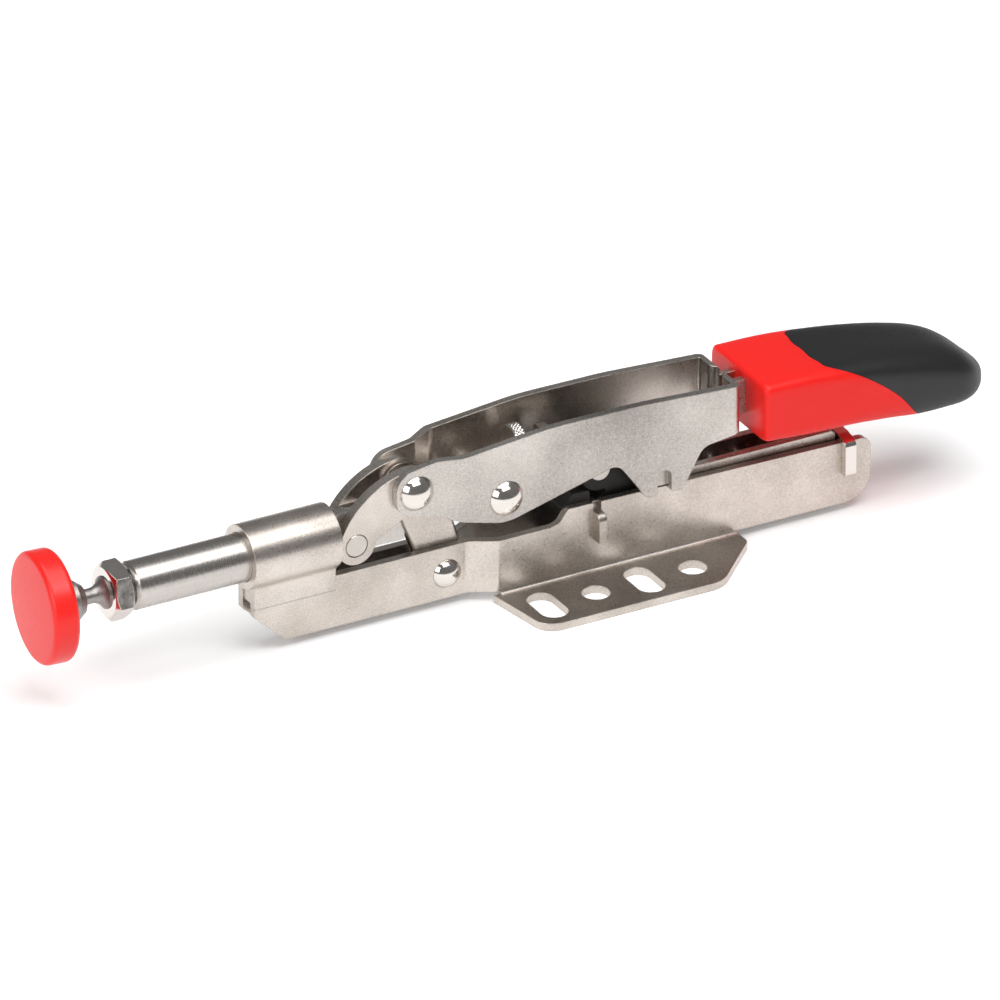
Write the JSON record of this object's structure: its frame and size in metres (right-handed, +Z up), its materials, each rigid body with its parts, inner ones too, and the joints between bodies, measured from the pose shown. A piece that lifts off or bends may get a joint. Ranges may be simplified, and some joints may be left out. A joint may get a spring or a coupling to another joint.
{
  "type": "push-pull toggle clamp",
  "caption": "Straight-line toggle clamp: a hand lever drives a round plunger with a swivelling pressure pad, on a folded sheet base with side flanges.",
  "frame": {"origin": "on the mounting face, at the centre of the rectangle of the four round fixing holes", "axes": "+X along the plunger from the pad to the hand grip, +Y across to the far side, +Z up away from the mounting face"},
  "size_m": [0.2564, 0.055, 0.0443],
  "materials": {
    "plated_sheet": "satin nickel plating with fine grain",
    "plated_bar": "bright zinc plating",
    "polished": "polished",
    "bright_thread": "plated",
    "pin_steel": "ground",
    "spring_steel": "drawn wire",
    "pad_red": "satin gloss",
    "slider_black": "matte",
    "grip_red": "satin gloss",
    "grip_black": "soft matte"
  },
  "bodies": {
    "base": {"base_side_near": "plated_sheet", "base_side_far": "plated_sheet", "guide_sleeve": "plated_sheet", "front_spacer": "plated_sheet", "middle_cross_plate": "plated_sheet", "rear_cross_plate": "polished", "slide_rail": "plated_sheet", "front_block": "slider_black", "base_rivet": "polished"},
    "rocker_body": {"rocker": "plated_sheet"},
    "handle": {"handle_plate_near": "plated_sheet", "handle_plate_far": "plated_sheet", "front_rivet": "polished", "handle_rivets": "polished", "grip_core": "grip_red", "grip_cover": "grip_black"},
    "links": {"link_near": "plated_sheet", "link_far": "plated_sheet", "link_pin": "pin_steel"},
    "plunger_body": {"plunger": "plated_bar"},
    "spindle_body": {"spindle": "bright_thread"},
    "nut": {"lock_nut": "polished"},
    "pad": {"pad_socket": "bright_thread", "pad_cap": "pad_red"},
    "slider": {"slider_block": "slider_black", "slider_pin": "pin_steel", "slider_spring": "spring_steel"},
    "strut_body": {"strut": "plated_sheet", "strut_pin": "pin_steel"},
    "screw": {"force_screw": "polished"}
  },
  "joints": [
    {"name": "rocker_pivot", "type": "hinge", "parent": "base", "child": "rocker_body", "pos_m": [-0.0459, 0, 0.009], "axis": [0, 1, 0], "range_deg": [0, 53.05]},
    {"name": "handle_pivot", "type": "hinge", "parent": "rocker_body", "child": "handle", "pos_m": [-0.0556, 0, 0.03425], "axis": [0, -1, 0], "range_deg": [0, 123.06]},
    {"name": "link_pivot", "type": "hinge", "parent": "rocker_body", "child": "links", "pos_m": [-0.0556, 0, 0.03425], "axis": [0, -1, 0], "range_deg": [0, 44.73]},
    {"name": "plunger_slide", "type": "slide", "parent": "base", "child": "plunger_body", "axis": [1, 0, 0], "range_m": [0, 0.02262]},
    {"name": "spindle_turn", "type": "hinge", "parent": "plunger_body", "child": "spindle_body", "pos_m": [-0.12, 0, 0.0253], "axis": [1, 0, 0], "continuous": true},
    {"name": "nut_turn", "type": "hinge", "parent": "spindle_body", "child": "nut", "pos_m": [-0.1336, 0, 0.0253], "axis": [1, 0, 0], "continuous": true},
    {"name": "pad_tilt", "type": "hinge", "parent": "spindle_body", "child": "pad", "pos_m": [-0.1465, 0, 0.0253], "axis": [0, 0, 1], "range_deg": [-4, 13]},
    {"name": "slider_travel", "type": "slide", "parent": "base", "child": "slider", "axis": [-1, 0, 0], "range_m": [-0.006, 0], "deforming": ["slider_spring"]},
    {"name": "strut_pivot", "type": "hinge", "parent": "slider", "child": "strut_body", "pos_m": [-0.0046, 0, 0.0265], "axis": [0, 1, 0], "range_deg": [0, 56.89]},
    {"name": "force_screw_turn", "type": "hinge", "parent": "strut_body", "child": "screw", "pos_m": [-0.0175, 0, 0.0364], "axis": [1, 0, 0], "continuous": true}
  ],
  "couplings": [
    {"joint": "handle_pivot", "follows": "rocker_pivot", "ratio": 2.3196},
    {"joint": "link_pivot", "follows": "rocker_pivot", "ratio": 0.84295},
    {"joint": "plunger_slide", "follows": "rocker_pivot", "m_per_rad": 0.024417},
    {"joint": "strut_pivot", "follows": "rocker_pivot", "ratio": 1.0723}
  ]
}
